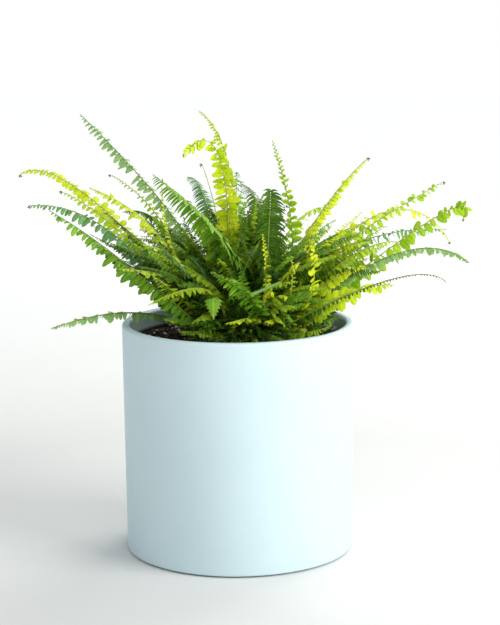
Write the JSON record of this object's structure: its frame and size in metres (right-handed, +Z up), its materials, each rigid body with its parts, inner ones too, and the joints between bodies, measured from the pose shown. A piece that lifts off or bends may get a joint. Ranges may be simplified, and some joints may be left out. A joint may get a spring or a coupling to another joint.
{
  "type": "self watering planter",
  "caption": "Round self watering planter: pale blue pot with a water reservoir, lift-out wicking liner, filler cap, level gauge, lifting grips and a planted fern.",
  "frame": {"origin": "centre of the planter on the surface it stands on", "axes": "+Z up through the middle of the pot, -Y to the front, +X to the right seen from the front"},
  "size_m": [0.4749, 0.3827, 0.4757],
  "materials": {
    "pot_blue": "satin",
    "rubber_dark": "matte",
    "liner_grey": "matte",
    "basket_grey": "matte",
    "tube_grey": "satin",
    "wick_felt": "matte",
    "mat_felt": "matte",
    "granulate": "matte",
    "soil": "matte",
    "steel": "satin",
    "clear": "gloss",
    "float_foam": "matte",
    "flag_red": "satin",
    "crown_brown": "matte",
    "leaf_lime": "satin",
    "leaf_green": "satin",
    "leaf_deep": "satin"
  },
  "bodies": {
    "planter": {"outer_pot": "pot_blue", "foot_ring": "rubber_dark"},
    "drain_bung": {"drain_bung": "rubber_dark"},
    "liner": {"liner_wall": "liner_grey", "liner_floor": "liner_grey", "wick_basket_1": "basket_grey", "wick_basket_2": "basket_grey", "wick_basket_3": "basket_grey", "wick_core_1": "wick_felt", "wick_core_2": "wick_felt", "wick_core_3": "wick_felt", "capillary_mat": "mat_felt", "wicking_granulate": "granulate", "bedding_soil": "soil", "potting_soil": "soil", "root_ball": "soil", "filler_tube": "tube_grey", "gauge_tube": "tube_grey", "service_head": "liner_grey", "cap_hinge_pin": "steel", "gauge_window": "clear", "fern_crown": "crown_brown", "foliage_core": "leaf_green", "frond_arching_back": "leaf_deep", "frond_arching_front": "leaf_green", "frond_arching_left": "leaf_green", "frond_back_left": "leaf_deep", "frond_back_low": "leaf_deep", "frond_back_right": "leaf_deep", "frond_back_tall": "leaf_deep", "frond_front_left": "leaf_green", "frond_front_lime": "leaf_lime", "frond_front_pale": "leaf_green", "frond_left_bright": "leaf_lime", "frond_left_crozier": "leaf_green", "frond_left_dark": "leaf_deep", "frond_left_lime": "leaf_lime", "frond_left_low": "leaf_deep", "frond_left_tall": "leaf_green", "frond_left_thin": "leaf_deep", "frond_right_back": "leaf_deep", "frond_right_droop": "leaf_lime", "frond_right_far": "leaf_deep", "frond_right_lime": "leaf_lime", "frond_right_low": "leaf_deep", "frond_right_pale": "leaf_green", "frond_right_tall": "leaf_green", "frond_right_thin": "leaf_deep", "frond_rim_left": "leaf_green", "frond_tall_branch": "leaf_lime", "frond_tall_lime": "leaf_lime", "frond_tall_thin": "leaf_deep", "frond_top_dark": "leaf_deep"},
    "filler_cap": {"flip_cap": "liner_grey", "cap_seal": "rubber_dark"},
    "level_float": {"gauge_float": "float_foam", "float_rod": "steel", "level_flag": "flag_red"},
    "grip_front": {"grip_front": "liner_grey"},
    "grip_back": {"grip_back": "liner_grey"}
  },
  "joints": [
    {"name": "drain_bung_pull", "type": "slide", "parent": "planter", "child": "drain_bung", "axis": [0, 0, 1], "range_m": [0, 0.02]},
    {"name": "liner_lift", "type": "slide", "parent": "planter", "child": "liner", "axis": [0, 0, 1], "range_m": [0, 0.26]},
    {"name": "filler_cap_hinge", "type": "hinge", "parent": "liner", "child": "filler_cap", "pos_m": [0.09214, 0.00119, 0.242], "axis": [0.9736, 0.2281, 0], "range_deg": [0, 110]},
    {"name": "float_rise", "type": "slide", "parent": "liner", "child": "level_float", "axis": [0, 0, 1], "range_m": [0, 0.025]},
    {"name": "grip_front_hinge", "type": "hinge", "parent": "liner", "child": "grip_front", "pos_m": [0, -0.082, 0.235], "axis": [-1, 0, 0], "range_deg": [0, 90]},
    {"name": "grip_back_hinge", "type": "hinge", "parent": "liner", "child": "grip_back", "pos_m": [0, 0.082, 0.235], "axis": [1, 0, 0], "range_deg": [0, 90]}
  ]
}
